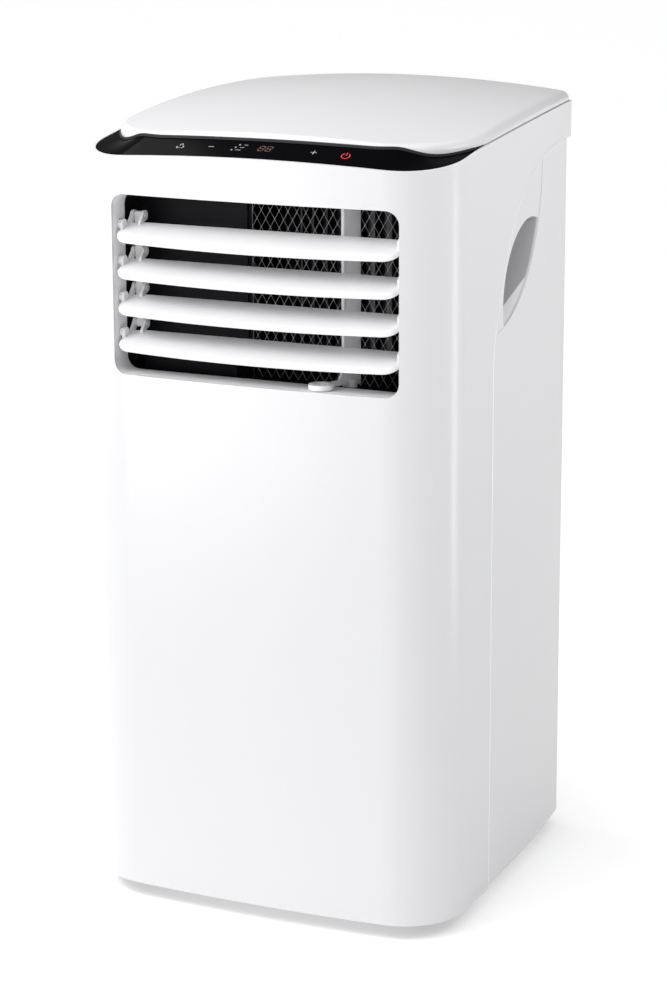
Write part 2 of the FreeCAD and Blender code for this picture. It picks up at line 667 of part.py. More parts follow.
def exhaust_duct():
    """Duct from the lower fan to the exhaust collar."""
    duct = box((-120, 36, 264.5), (28, 150, 402)).cut(box((-117.5, 38.5, 267), (25.5, 147.5, 399.5)))
    duct = duct.cut(box((-68, 38.5, 260), (-8, 98.5, 270)))
    x, z = EXHAUST
    return duct.cut(rod(COLLAR_BORE_R + COLLAR_WALL + 0.3, (x, 140, z), (x, 160, z)))


def exhaust_collar():
    """Round collar that the exhaust hose fits, with a flange on the rear casing."""
    x, z = EXHAUST
    face = REAR_Y - REAR_SHELL_INSET
    outer = COLLAR_BORE_R + COLLAR_WALL
    collar = rod(outer, (x, 142, z), (x, COLLAR_END, z))
    collar = collar.fuse(rod(outer + 8, (x, face, z), (x, face + 3, z)))
    for turn in range(4):
        lug = box((outer - 1, COLLAR_END - 9, -5), (outer + 2.5, COLLAR_END - 5, 5))
        lug.rotate(Vector(), Vector(0, 1, 0), 90 * turn + 45)
        lug.translate(Vector(x, 0, z))
        collar = collar.fuse(lug)
    return collar.cut(rod(COLLAR_BORE_R, (x, 130, z), (x, COLLAR_END + 10, z)))


def compressor():
    """Rotary compressor can on a three-eared foot."""
    x, y = COMPRESSOR
    can = Part.makeCylinder(COMPRESSOR_R, 219, Vector(x, y, 63))
    rims = [edge for edge in can.Edges if edge.Closed and edge.Length > 200]
    can = can.makeFillet(16, rims)
    ears = [rod(8, (ear_x, ear_y, 60), (ear_x, ear_y, 63)) for ear_x, ear_y in compressor_feet_places()]
    foot = prism(compressor_feet_places(), 60, 63, 2)
    pad = rod(44, (x, y, 60), (x, y, 64))
    cap = rod(14, (x + 26, y - 12, 275), (x + 26, y - 12, 294))
    return can.multiFuse(ears + [foot, pad, cap])


def compressor_feet_places():
    """Corners of the compressor's foot."""
    x, y = COMPRESSOR
    return [(x + 62 * math.cos(math.radians(a)), y + 62 * math.sin(math.radians(a))) for a in (30, 150, 270)]


def compressor_feet():
    """Three rubber feet under the compressor."""
    base = BASE_Z + 3
    return Part.makeCompound([rod(8, (x, y, base), (x, y, 60)) for x, y in compressor_feet_places()])


def accumulator():
    """Suction accumulator beside the compressor."""
    x, y = ACCUMULATOR
    can = Part.makeCylinder(20, 120, Vector(x, y, 110))
    return can.makeFillet(8, [edge for edge in can.Edges if edge.Closed and edge.Length > 80])


def accumulator_bracket():
    """Strap and post that hold the accumulator up from the base."""
    x, y = ACCUMULATOR
    post = box((x - 8, y + 21, BASE_Z + 3), (x + 8, y + 24, 180))
    strap = tube(22, 20, (x, y, 150), (x, y, 172))
    return post.fuse(strap.fuse(box((x - 8, y + 20.5, 150), (x + 8, y + 22, 172)))).removeSplitter()


def coil_block(low, high):
    """Finned block of a heat exchanger with its two end plates."""
    core = box(low, high)
    plates = []
    for x in (low[0], high[0] - 1.5):
        plates.append(box((x, low[1] - 3, low[2] - 2), (x + 1.5, high[1] + 3, high[2] + 2)))
    return core.multiFuse(plates)


def coil_bends(low, high):
    """Return bends at both ends of a heat exchanger."""
    bends = []
    rows = int((high[2] - low[2] - 30) / 25)
    for i in range(rows):
        for x, turn, shift in ((low[0], -180, 0.0), (high[0], 180, 12.5)):
            z = low[2] + 22 + 25 * i + shift
            if z + 17 > high[2] - 10:
                continue
            for y in (low[1] + 7, high[1] - 7):
                ring = Part.Face(Part.Wire(Part.makeCircle(3.5, Vector(x, y, z + 9), Vector(1, 0, 0))))
                bends.append(ring.revolve(Vector(x, y, z), Vector(0, 1, 0), turn))
    return Part.makeCompound(bends)


def pipe(points, radius, bend):
    """Tube along straight runs joined by tangent arcs."""
    path = [Vector(*point) for point in points]
    edges = []
    start = path[0]
    for before, corner, after in zip(path, path[1:], path[2:]):
        into = (corner - before).normalize()
        away = (after - corner).normalize()
        a = corner - into * bend
        b = corner + away * bend
        middle = corner + (away - into) * bend * (1 - math.sqrt(0.5))
        edges.append(Part.makeLine(start, a))
        edges.append(Part.Arc(a, middle, b).toShape())
        start = b
    edges.append(Part.makeLine(start, path[-1]))
    route = Part.Wire(edges)
    first = path[1] - path[0]
    ring = Part.Wire(Part.makeCircle(radius, path[0], first))
    return route.makePipeShell([ring], True, False)


def refrigerant_tubes():
    """Copper discharge, suction and liquid lines."""
    cx, cy = COMPRESSOR
    ax, ay = ACCUMULATOR
    discharge = pipe([(cx, cy, 282.5), (cx, cy, 306), (-142, cy, 306), (-142, 127, 306), (-142, 127, 251),
                      (-118.5, 127, 251)], 3.2, 10)
    suction = pipe([(-126.5, 126, 430.5), (-150.5, 126, 430.5), (-150.5, 126, 332), (-150.5, ay, 332),
                    (ax, ay, 332), (ax, ay, 230.5)], 4.5, 12)
    liquid = pipe([(98.5, 127, 78), (147, 127, 78), (147, 127, 430), (124.5, 127, 430)], 2.2, 12)
    return Part.makeCompound([discharge, suction, liquid])


def drain_tray():
    """Tray under the evaporator that divides the upper and lower chambers, with a drain spout."""
    plate = body_block(6, TRAY_Z, TRAY_Z + 3).fuse(shell_block(6, WALL, TRAY_Z, TRAY_Z + 12))
    plate = plate.cut(rod(6, (-150.5, 126, 400), (-150.5, 126, 440)))
    plate = plate.cut(rod(4, (147, 127, 400), (147, 127, 440)))
    spout = rod(7, (112, 150, TRAY_Z + 13), (112, 172, TRAY_Z + 13))
    saddle = box((106, 150, TRAY_Z + 2), (118, 157, TRAY_Z + 13))
    plate = plate.fuse(spout.fuse(saddle))
    return plate.cut(rod(5, (112, 149, TRAY_Z + 13), (112, 180, TRAY_Z + 13)))


def base_pan():
    """Bottom tray with a skirt, castor sockets and a drain spout."""
    pan = body_block(4.7, BASE_Z, BASE_Z + 3).fuse(shell_block(4.7, WALL, REAR_FOOT + 1, BASE_Z + 16))
    for x, y in CASTOR_PLACES:
        pan = pan.fuse(rod(9, (x, y, BASE_Z), (x, y, BASE_Z + 26)))
        pan = pan.cut(rod(4.5 + PIN_CLEARANCE, (x, y, BASE_Z - 5), (x, y, BASE_Z + 24)))
    spout = rod(7, (118, 150, 52), (118, 172, 52))
    pan = pan.fuse(spout)
    return pan.cut(rod(5, (118, 149, 52), (118, 180, 52))).removeSplitter()


def drain_plug(x, z):
    """Rubber bung in a drain spout."""
    bung = rod(5 - PIN_CLEARANCE, (x, 160, z), (x, 173, z))
    head = rod(8.5, (x, 172.1, z), (x, 175.5, z))
    tab = box((x - 3, 174, z - 13), (x + 3, 175.5, z))
    return bung.fuse(head).fuse(tab)


def castor_fork(x, y):
    """Swivelling fork with its stem and axle; it trails to the rear."""
    half = WHEEL_WIDTH / 2
    plate = rod(11, (x, y, 33), (x, y, 36.5))
    stem = rod(4.5, (x, y, 36), (x, y, 62))
    web = box((x - half - 3, y - 7, 33), (x + half + 3, y + 12, 36))
    fork = plate.fuse(stem).fuse(web)
    wheel_y = y + CASTOR_TRAIL
    for side in (-1, 1):
        near = x + side * (half + 0.5)
        far = near + side * 2.5
        leg = prism([(y - 6, 35), (wheel_y - 5, 13), (wheel_y + 5, 13), (y + 12, 35)],
                    min(near, far), max(near, far), 0)
        fork = fork.fuse(leg.fuse(rod(5, (near, wheel_y, WHEEL_R), (far, wheel_y, WHEEL_R))))
    axle = rod(2.4, (x - half - 3.6, wheel_y, WHEEL_R), (x + half + 3.6, wheel_y, WHEEL_R))
    return fork.fuse(axle)


def castor_wheel(x, y):
    """Wheel of one castor."""
    half = WHEEL_WIDTH / 2
    wheel_y = y + CASTOR_TRAIL
    wheel = rod(WHEEL_R, (x - half, wheel_y, WHEEL_R), (x + half, wheel_y, WHEEL_R))
    wheel = wheel.makeFillet(2.5, [edge for edge in wheel.Edges if edge.Closed])
    for side in (-1, 1):
        floor_x = x + side * (half - 2)
        wheel = wheel.cut(tube(11.5, 5, (floor_x, wheel_y, WHEEL_R), (floor_x + 3 * side, wheel_y, WHEEL_R)))
    bore = rod(2.4 + PIN_CLEARANCE, (x - half - 1, wheel_y, WHEEL_R), (x + half + 1, wheel_y, WHEEL_R))
    return wheel.cut(bore)


def slatted_frame(low, high, border, pitch, slat):
    """Flat grille: rounded border with level slats between."""
    frame = rounded_box(low, high, 5, 1)
    inner_low = (low[0] + border, low[1] - 1, low[2] + border)
    inner_high = (high[0] - border, high[1] + 1, high[2] - border)
    frame = frame.cut(rounded_box(inner_low, inner_high, 2, 1))
    slats = []
    count = int((inner_high[2] - inner_low[2]) / pitch)
    spread = (inner_high[2] - inner_low[2]) / count
    for i in range(1, count):
        z = inner_low[2] + spread * i
        section = [(low[1] + 0.5, z + 2.2), (low[1] + 0.5, z + 2.2 + slat),
                   (high[1] - 0.3, z + slat - 1.4), (high[1] - 0.3, z - 1.4)]
        slats.append(prism(section, low[0] + 1, high[0] - 1, 0))
    for x in (low[0] + (high[0] - low[0]) / 3, low[0] + 2 * (high[0] - low[0]) / 3):
        slats.append(box((x - 1.2, low[1], low[2] + 1), (x + 1.2, high[1] - 1.5, high[2] - 1)))
    return frame.multiFuse(slats)


def upper_filter_frame():
    """Removable grille over the evaporator, with pull tabs."""
    face = REAR_Y - REAR_SHELL_INSET
    frame = slatted_frame((-129.6, face - 5, 450.4), (129.6, face, 639.6), 9, 11.5, 1.6)
    for side in (-1, 1):
        frame = frame.fuse(box((side * 70 - 14, face - 1, 633), (side * 70 + 14, face + 3.5, 636)))
    return frame


def upper_filter_mesh():
    """Dust net behind the removable grille."""
    face = REAR_Y - REAR_SHELL_INSET
    return box((-126, face - 6.2, 454), (126, face - 5, 636))


def lower_grille():
    """Fixed grille over the condenser."""
    face = REAR_Y - REAR_SHELL_INSET
    return slatted_frame((-129.6, face - 5, 66.4), (99.6, face, 249.6), 9, 11.5, 1.6)


def cord_gland():
    """Gland in the rear casing where the supply cord enters."""
    face = REAR_Y - REAR_SHELL_INSET
    gland = rod(9, (124, face - 9, 110), (124, face, 110))
    gland = gland.fuse(rod(12, (124, face, 110), (124, face + 3, 110)))
    gland = gland.fuse(rod(7, (124, face + 3, 110), (124, face + 9, 110)))
    return gland.cut(rod(4.2, (124, face - 15, 110), (124, face + 15, 110)))


def rear_screws():
    """Screws that hold the rear casing."""
    face = REAR_Y - REAR_SHELL_INSET
    screws = []
    for x, z in screw_places():
        screw = rod(1.6, (x, face - 9, z), (x, face + 0.5, z)).fuse(rod(3.6, (x, face, z), (x, face + 2, z)))
        cross = box((x - 0.5, face + 1, z - 2.2), (x + 0.5, face + 3, z + 2.2))
        cross = cross.fuse(box((x - 2.2, face + 1, z - 0.5), (x + 2.2, face + 3, z + 0.5)))
        screws.append(screw.cut(cross))
    return Part.makeCompound(screws)


def control_box():
    """Case of the electrical parts, open to the front."""
    case = box((62, -142, 150), (150, -88, 330)).cut(box((64, -145, 152), (148, -90, 328)))
    leg = box((62, -100, BASE_Z + 3), (150, -88, 150))
    return case.fuse(leg.cut(box((70, -105, BASE_Z), (142, -80, 142)))).removeSplitter()


def control_board():
    """Power circuit board inside the electrical case."""
    board = box((67, -93.6, 170), (145, -92, 325))
    relays = [box((x, -112, z), (x + 18, -93.6, z + 22)) for x in (74, 112) for z in (180, 220, 262)]
    return board.multiFuse(relays)


def run_capacitor():
    """Compressor run capacitor in its clamp on the case floor."""
    return rod(16, (106, -122, 152), (106, -122, 168)).fuse(rod(20, (106, -122, 152), (106, -122, 156)))


def save(node, shape):
    """Write one sub-part."""
    shape.exportStep(os.path.join("parts", node + ".step"))
    low = shape.BoundBox
    reach = (low.XMin, low.XMax, low.YMin, low.YMax, low.ZMin, low.ZMax)
    print("%-22s %2d solids %8.0f mm3 valid %s" % (node, len(shape.Solids), shape.Volume, shape.isValid()),
          "x %.1f %.1f y %.1f %.1f z %.1f %.1f" % reach)


def build_all():
    """All sub-parts by node name."""
    os.makedirs("parts", exist_ok=True)
    right_cup = handle_cup()
    left_cup = right_cup.mirror(Vector(), Vector(1, 0, 0))
    save("handle_cup_right", right_cup)
    save("handle_cup_left", left_cup)
    for make in (front_shell, rear_shell, top_lid, lid_seal, control_panel, display_board, outlet_bezel,
                 outlet_duct, louvre_tie_bar, vertical_vane, guard_mesh, upper_impeller, lower_impeller,
                 upper_scroll_case, lower_scroll_case, upper_fan_motor, lower_fan_motor, exhaust_duct,
                 exhaust_collar, compressor, compressor_feet, accumulator, accumulator_bracket,
                 refrigerant_tubes, drain_tray, base_pan,
                 upper_filter_frame, upper_filter_mesh, lower_grille, cord_gland, rear_screws, control_box,
                 control_board, run_capacitor):
        save(make.__name__, make())
    save("evaporator", coil_block(*EVAPORATOR))
    save("evaporator_bends", coil_bends(*EVAPORATOR))
    save("condenser", coil_block(*CONDENSER))
    save("condenser_bends", coil_bends(*CONDENSER))
    save("drain_plug_upper", drain_plug(112, TRAY_Z + 13))
    save("drain_plug_lower", drain_plug(118, 52))
    for number, z in enumerate(louvre_heights(), 1):
        save("louvre_%d" % number, placed_louvre(z))
    for number, (x, y) in enumerate(CASTOR_PLACES, 1):
        save("castor_fork_%d" % number, castor_fork(x, y))
        save("castor_wheel_%d" % number, castor_wheel(x, y))


build_all()
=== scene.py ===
import json
import math

import bpy
from mathutils import Matrix, Vector
from mathutils.bvhtree import BVHTree


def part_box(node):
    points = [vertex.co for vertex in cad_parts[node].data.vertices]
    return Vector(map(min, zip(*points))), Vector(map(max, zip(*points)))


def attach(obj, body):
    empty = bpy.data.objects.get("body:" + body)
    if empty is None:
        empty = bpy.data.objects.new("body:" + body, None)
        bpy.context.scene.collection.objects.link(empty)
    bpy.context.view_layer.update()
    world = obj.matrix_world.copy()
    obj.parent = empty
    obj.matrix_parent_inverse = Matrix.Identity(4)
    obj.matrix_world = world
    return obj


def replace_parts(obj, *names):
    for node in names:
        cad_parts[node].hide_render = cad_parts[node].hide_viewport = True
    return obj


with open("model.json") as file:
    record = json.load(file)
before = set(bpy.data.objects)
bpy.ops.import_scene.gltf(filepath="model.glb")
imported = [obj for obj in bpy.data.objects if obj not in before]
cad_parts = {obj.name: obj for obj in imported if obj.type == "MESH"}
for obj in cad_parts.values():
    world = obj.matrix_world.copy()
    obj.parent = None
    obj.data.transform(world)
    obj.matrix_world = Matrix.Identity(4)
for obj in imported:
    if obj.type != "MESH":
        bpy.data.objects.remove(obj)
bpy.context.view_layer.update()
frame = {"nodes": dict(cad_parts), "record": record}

MM = 0.001

# --- Camera: to the right of the front, looking down ----------------------------------------------
CAMERA_PLACE = Vector((1.07196, -2.30858, 0.98500))
CAMERA_YAW = math.radians(25.02)
CAMERA_PITCH = math.radians(14.18)
CAMERA_ROLL = math.radians(-0.24)
CAMERA_LENS = 103.94
CAMERA_SENSOR = 36.0
CAMERA_REACH = 50.0

# --- Studio light ---------------------------------------------------------------------------------
WORLD_LIGHT = 0.45
WORLD_FALL = (-0.25, -0.25, 0.0)
KEY_LIGHT = 0.85
KEY_SPREAD = math.radians(70)
KEY_FROM = (-0.16, -0.34, 0.92)
FLOOR_SIZE = 60.0
FLOOR_GLOW = 0.35
FLOOR_TONES = ((0.93, 0.93, 0.93), (0.95, 0.95, 0.95))
# Soft panels: name, place, aim, width and height in metres, power in watts, seen in the gloss only.
PANELS = (
    ("front", (-0.55, -0.74, 1.16), (-0.05, -0.1, 0.62), (0.5, 0.5), 5.3, False),
    ("sheen", (-0.62, -1.2, 0.33), (0.0, -0.17, 0.5), (0.62, 0.5), 3.4, True),
    ("side", (0.85, -0.05, 0.95), (0.17, 0.0, 0.5), (0.45, 0.35), 2.1, False),
    ("lid", (-0.55, 0.15, 1.3), (-0.1, 0.05, 0.7), (0.4, 0.4), 2.1, False),
    ("corner", (1.03, 0.37, 0.28), (0.165, -0.13, 0.45), (0.12, 0.5), 1.3, True),
)

# --- Colours (linear) -----------------------------------------------------------------------------
WHITE = (0.725, 0.725, 0.74)
LID_WHITE = (0.78, 0.78, 0.795)
# The louvres' own white, lightened past the casing's as painted light for their shaded tops.
LOUVRE_LIT_WHITE = (0.92, 0.92, 0.93)
# Painted highlight: the front shell's edge lip is lighter than the casing's white.
EDGE_HIGHLIGHT_WHITE = (0.95, 0.95, 0.95)
# Painted shade inside the grip pocket, and painted light on the ramp at its foot.
POCKET_PAINTED_SHADE = (0.42, 0.42, 0.43)
RAMP_PAINTED_LIGHT = (0.93, 0.93, 0.94)
# The bezel's light grey, lightened as painted light for its walls in the outlet's shade.
BEZEL_LIT_GREY = (0.90, 0.90, 0.91)
LIGHT_GREY = (0.62, 0.62, 0.63)
MID_GREY = (0.20, 0.205, 0.21)
CHARCOAL = (0.008, 0.008, 0.010)
PIANO_BLACK = (0.002, 0.002, 0.0025)
RUBBER_BLACK = (0.018, 0.018, 0.019)
BOARD_GREEN = (0.01, 0.09, 0.035)
COPPER = (0.72, 0.33, 0.18)
STEEL = (0.56, 0.56, 0.57)
WIRE_STEEL = (0.38, 0.38, 0.39)
ALUMINIUM = (0.68, 0.70, 0.72)
MARK_WHITE = (0.45, 0.45, 0.46)
MARK_RED = (0.75, 0.02, 0.02)
MARK_AMBER = (0.10, 0.035, 0.004)

# --- Ranges of the materials ----------------------------------------------------------------------
NOISE_LOW = 0.15
NOISE_HIGH = 0.85
PLASTIC_IOR = 1.48

# --- Grip pocket, in metres -----------------------------------------------------------------------
# The casing's side is an arc about SEAM_Y, and the grip's plate lies on it at CUP_FACE_X.
SEAM_Y = -0.057
SIDE_RADIUS = 1.6865
CUP_FACE_X = 0.17035
# The colour turns from the plate's white to the pocket's painted shade from CUP_EDGE behind the plate's
# face, over CUP_FADE.
CUP_EDGE = 0.0008
CUP_FADE = 0.0012
# The ramp at the pocket's foot is the plane z = RAMP_FOOT + RAMP_LEAN_Y * y + RAMP_LEAN_X * |x|; on and
# below it the pocket is painted light, above it painted shade.
RAMP_FOOT = 0.3154
RAMP_LEAN_Y = 0.3443
RAMP_LEAN_X = 1.366
RAMP_BLUR = 0.0015


# --- Materials ------------------------------------------------------------------------------------
# Noise scales are cells to the metre, low and high bound the roughness, and depth is the relief's
# height in metres.
class Shader:
    """A material with one principled shader, and short calls for the nodes that feed it."""

    def __init__(self, name, **sockets):
        self.material = bpy.data.materials.new(name)
        self.material.use_nodes = True
        self.nodes = self.material.node_tree.nodes
        self.links = self.material.node_tree.links
        self.shader = self.nodes["Principled BSDF"]
        self.place = self.nodes.new("ShaderNodeTexCoord").outputs["Object"]
        for key, value in sockets.items():
            self.shader.inputs[key.replace("_", " ")].default_value = value

    def noise(self, scale, detail=3.0, stretch=(1, 1, 1)):
        """Noise with scale cells to the metre, stretched along the axes."""
        mapping = self.nodes.new("ShaderNodeMapping")
        mapping.inputs["Scale"].default_value = stretch
        self.links.new(self.place, mapping.inputs["Vector"])
        noise = self.nodes.new("ShaderNodeTexNoise")
        noise.inputs["Scale"].default_value = scale
        noise.inputs["Detail"].default_value = detail
        self.links.new(mapping.outputs["Vector"], noise.inputs["Vector"])
        return noise.outputs["Fac"]

    def colour(self, fac, dark, light):
        """Base colour that wanders between two close colours."""
        ramp = self.nodes.new("ShaderNodeValToRGB")
        for end, place, tone in zip(ramp.color_ramp.elements, (NOISE_LOW, NOISE_HIGH), (dark, light)):
            end.position = place
            end.color = (*tone, 1)
        self.links.new(fac, ramp.inputs["Fac"])
        self.links.new(ramp.outputs["Color"], self.shader.inputs["Base Color"])

    def roughness(self, fac, low, high):
        """Roughness that wanders between two values."""
        spread = self.nodes.new("ShaderNodeMapRange")
        spread.inputs["From Min"].default_value = NOISE_LOW
        spread.inputs["From Max"].default_value = NOISE_HIGH
        spread.inputs["To Min"].default_value = low
        spread.inputs["To Max"].default_value = high
        self.links.new(fac, spread.inputs["Value"])
        self.links.new(spread.outputs["Result"], self.shader.inputs["Roughness"])

    def bump(self, fac, depth):
        """Surface relief, with its depth in metres."""
        bump = self.nodes.new("ShaderNodeBump")
        bump.inputs["Distance"].default_value = depth
        self.links.new(fac, bump.inputs["Height"])
        self.links.new(bump.outputs["Normal"], self.shader.inputs["Normal"])


def shade(colour, factor):
    """The same colour, darker or lighter."""
    return tuple(min(1.0, channel * factor) for channel in colour)


def moulded(name, colour, low, high, grain=1800.0, depth=0.00001, shine=0.5):
    """Moulded plastic: slight tone drift, patchy gloss and a fine spark-eroded grain."""
    look = Shader(name, IOR=PLASTIC_IOR, Specular_IOR_Level=shine)
    look.colour(look.noise(5.0, 1.0), shade(colour, 0.99), colour)
    look.roughness(look.noise(9.0, 1.0), low, high)
    look.bump(look.noise(grain, 2.0), depth)
    return look.material


def metal(name, colour, low, high, stretch=(1, 1, 1), grain=600.0, depth=0.00001):
    """Bare metal with a drawn or rolled grain."""
    look = Shader(name, Metallic=1.0)
    look.colour(look.noise(60.0, 4.0, stretch), shade(colour, 0.82), colour)
    look.roughness(look.noise(180.0, 3.0, stretch), low, high)
    look.bump(look.noise(grain, 3.0, stretch), depth)
    return look.material


def enamel(name, colour, low, high):
    """Painted metal with a thin clear gloss and faint orange peel."""
    look = Shader(name, Coat_Weight=0.4, Coat_Roughness=0.12)
    look.colour(look.noise(12.0), shade(colour, 0.85), colour)
    look.roughness(look.noise(45.0), low, high)
    look.bump(look.noise(420.0, 2.0), 0.00003)
    return look.material


def cup_look():
    """White grip plate, with painted shade in the pocket behind it and painted light on the ramp at the
    pocket's foot.
    """
    look = Shader("grip_white_with_painted_shade", IOR=PLASTIC_IOR)

    # One step of arithmetic on numbers or sockets.
    def step(kind, a, b=0.0, clamp=False):
        math_node = look.nodes.new("ShaderNodeMath")
        math_node.operation = kind
        math_node.use_clamp = clamp
        for socket, value in zip(math_node.inputs, (a, b)):
            if isinstance(value, float):
                socket.default_value = value
            else:
                look.links.new(value, socket)
        return math_node.outputs["Value"]

    split = look.nodes.new("ShaderNodeSeparateXYZ")
    look.links.new(look.place, split.inputs["Vector"])
    x, y, z = (split.outputs[axis] for axis in "XYZ")
    # Painted shade: the pocket turns grey with depth behind the plate's face, except on the ramp, which
    # is painted light.
    bow = step("DIVIDE", step("POWER", step("ADD", y, -SEAM_Y), 2.0), 2 * SIDE_RADIUS)
    depth = step("SUBTRACT", step("SUBTRACT", CUP_FACE_X, bow), step("ABSOLUTE", x))
    shade_by_depth = step("DIVIDE", step("SUBTRACT", depth, CUP_EDGE), CUP_FADE, True)
    lean_in = step("MULTIPLY", step("ABSOLUTE", x), RAMP_LEAN_X)
    ramp = step("ADD", step("MULTIPLY", y, RAMP_LEAN_Y), lean_in)
    over = step("SUBTRACT", step("SUBTRACT", z, RAMP_FOOT), ramp)
    shade_above_ramp = step("DIVIDE", over, RAMP_BLUR, True)
    pocket = look.nodes.new("ShaderNodeMix")
    plate = look.nodes.new("ShaderNodeMix")
    for mix, near, far in ((pocket, RAMP_PAINTED_LIGHT, POCKET_PAINTED_SHADE), (plate, WHITE, POCKET_PAINTED_SHADE)):
        mix.data_type = "RGBA"
        mix.inputs["A"].default_value = (*near, 1)
        mix.inputs["B"].default_value = (*far, 1)
    look.links.new(shade_above_ramp, pocket.inputs["Factor"])
    look.links.new(pocket.outputs["Result"], plate.inputs["B"])
    look.links.new(shade_by_depth, plate.inputs["Factor"])
    look.links.new(plate.outputs["Result"], look.shader.inputs["Base Color"])
    look.roughness(look.noise(9.0, 1.0), 0.28, 0.34)
    look.bump(look.noise(1500.0, 2.0), 0.000002)
    return look.material


def piano_black():
    """Deep gloss black with a weak clear reflection."""
    look = Shader("strip_black", Specular_IOR_Level=0.004)
    look.colour(look.noise(6.0), PIANO_BLACK, shade(PIANO_BLACK, 1.6))
    look.roughness(look.noise(30.0), 0.08, 0.13)
    look.bump(look.noise(90.0), 0.000002)
    return look.material


def board_look():
    """Green solder mask with copper tracks showing through."""
    look = Shader("board_mask")
    cells = look.nodes.new("ShaderNodeTexBrick")
    cells.inputs["Scale"].default_value = 160.0
    cells.inputs["Mortar Size"].default_value = 0.05
    look.links.new(look.place, cells.inputs["Vector"])
    look.colour(cells.outputs["Fac"], BOARD_GREEN, shade(BOARD_GREEN, 1.9))
    look.roughness(look.noise(300.0), 0.3, 0.5)
    look.bump(cells.outputs["Fac"], 0.00003)
    return look.material


def mark_look(name, colour, glow):
    """Printed or lit mark on the touch strip."""
    look = Shader(name, Emission_Strength=glow)
    look.colour(look.noise(900.0), shade(colour, 0.9), colour)
    look.roughness(look.noise(500.0), 0.25, 0.4)
    look.shader.inputs["Emission Color"].default_value = (*colour, 1)
    return look.material


def slot_looks():
    """One material for each of the record's slots."""
    return {
        "white_casing": moulded("casing_white", WHITE, 0.27, 0.30, 1500.0, 0.000002),
        "white_lid": moulded("lid_white", LID_WHITE, 0.19, 0.22, 1500.0, 0.000001),
        # Louvre white: the parts' own white plus painted light.
        "white_moving": moulded("louvre_white_painted_light", LOUVRE_LIT_WHITE, 0.29, 0.33, 1500.0, 0.000002),
        "black_gloss": piano_black(),
        "circuit_board": board_look(),
        # Bezel grey: the part's own light grey plus painted light.
        "grey_plastic": moulded("bezel_grey_painted_light", BEZEL_LIT_GREY, 0.38, 0.5, 1400.0, 0.00003),
        "dark_plastic": moulded("duct_charcoal", CHARCOAL, 0.45, 0.6, 1200.0, 0.00004, 0.1),
        "bright_wire": metal("wire_bright", WIRE_STEEL, 0.25, 0.4),
        "black_fan": moulded("fan_black", shade(CHARCOAL, 1.6), 0.3, 0.42),
        "motor_steel": enamel("motor_enamel", MID_GREY, 0.35, 0.5),
        "black_paint": enamel("can_enamel", CHARCOAL, 0.3, 0.45),
        "black_rubber": moulded("rubber_black", RUBBER_BLACK, 0.6, 0.8, 900.0, 0.00005),
        "plated_steel": metal("zinc_plate", STEEL, 0.3, 0.5, (1, 1, 6)),
        "copper": metal("copper_tube", COPPER, 0.22, 0.42),
        "base_plastic": moulded("base_grey", shade(LIGHT_GREY, 0.85), 0.45, 0.6, 1000.0, 0.00005),
        "filter_net": moulded("net_grey", MID_GREY, 0.5, 0.7),
        "black_plastic": moulded("gland_black", CHARCOAL, 0.4, 0.55, 1000.0, 0.00005),
        "aluminium_can": metal("can_aluminium", ALUMINIUM, 0.25, 0.4, (8, 8, 1)),
        "coil_fins": metal("fin_aluminium", ALUMINIUM, 0.3, 0.45, (40, 1, 1), 500.0, 0.0002),
        "grey_castor": moulded("castor_grey", MID_GREY, 0.35, 0.5),
        "castor_tread": moulded("tread_rubber", RUBBER_BLACK, 0.55, 0.75, 700.0, 0.00006),
    }


LOOKS = slot_looks()
# Painted highlight for the lip along the front shell's edge.
EDGE_HIGHLIGHT_LOOK = moulded("edge_painted_highlight", EDGE_HIGHLIGHT_WHITE, 0.2, 0.25)
SLOT_OF = {row["node"]: row["material_slot"] for row in frame["record"]["subparts"]}


def paint(piece, slot):
    """Give a piece the look of a slot."""
    piece.data.materials.clear()
    piece.data.materials.append(LOOKS[slot])


def paint_nodes():
    """Give every CAD node its detailed material."""
    cup = cup_look()
    for name, node in frame["nodes"].items():
        node.data.materials.clear()
        node.data.materials.append(cup if name.startswith("handle_cup") else LOOKS[SLOT_OF[name]])


# --- Mesh helpers ---------------------------------------------------------------------------------
def mesh_piece(name, verts, faces, body, slot):
    """New piece from plain vertices and faces, riding on a body."""
    mesh = bpy.data.meshes.new(name)
    mesh.from_pydata(verts, [], faces)
    mesh.update()
    piece = bpy.data.objects.new(name, mesh)
    bpy.context.scene.collection.objects.link(piece)
    paint(piece, slot)
    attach(piece, body)
    return piece


def add_box(verts, faces, low, high):
    """Add one box to lists of vertices and faces."""
    first = len(verts)
    for x in (low[0], high[0]):
        for y in (low[1], high[1]):
            for z in (low[2], high[2]):
                verts.append((x, y, z))
    for face in ((0, 1, 3, 2), (4, 6, 7, 5), (0, 4, 5, 1), (2, 3, 7, 6), (0, 2, 6, 4), (1, 5, 7, 3)):
        faces.append(tuple(first + i for i in face))


def add_wire(verts, faces, points, radius, sides=8):
    """Add a round wire that follows points to lists of vertices and faces."""
    first = len(verts)
    count = len(points)
    for i, point in enumerate(points):
        along = (points[min(i + 1, count - 1)] - points[max(i - 1, 0)]).normalized()
        across = along.cross(Vector((0, 1, 0)))
        if across.length < 0.1:
            across = along.cross(Vector((1, 0, 0)))
        across.normalize()
        up = along.cross(across)
        for k in range(sides):
            turn = 2 * math.pi * k / sides
            verts.append(tuple(point + across * math.cos(turn) * radius + up * math.sin(turn) * radius))
    for i in range(count - 1):
        for k in range(sides):
            a = first + i * sides + k
            b = first + i * sides + (k + 1) % sides
            faces.append((a, b, b + sides, a + sides))
    faces.append(tuple(first + k for k in reversed(range(sides))))
    faces.append(tuple(first + (count - 1) * sides + k for k in range(sides)))


def surface_of(node):
    """Search tree of a CAD node's mesh."""
    source = frame["nodes"][node].data
    verts = [v.co.copy() for v in source.vertices]
    return BVHTree.FromPolygons(verts, [tuple(p.vertices) for p in source.polygons])


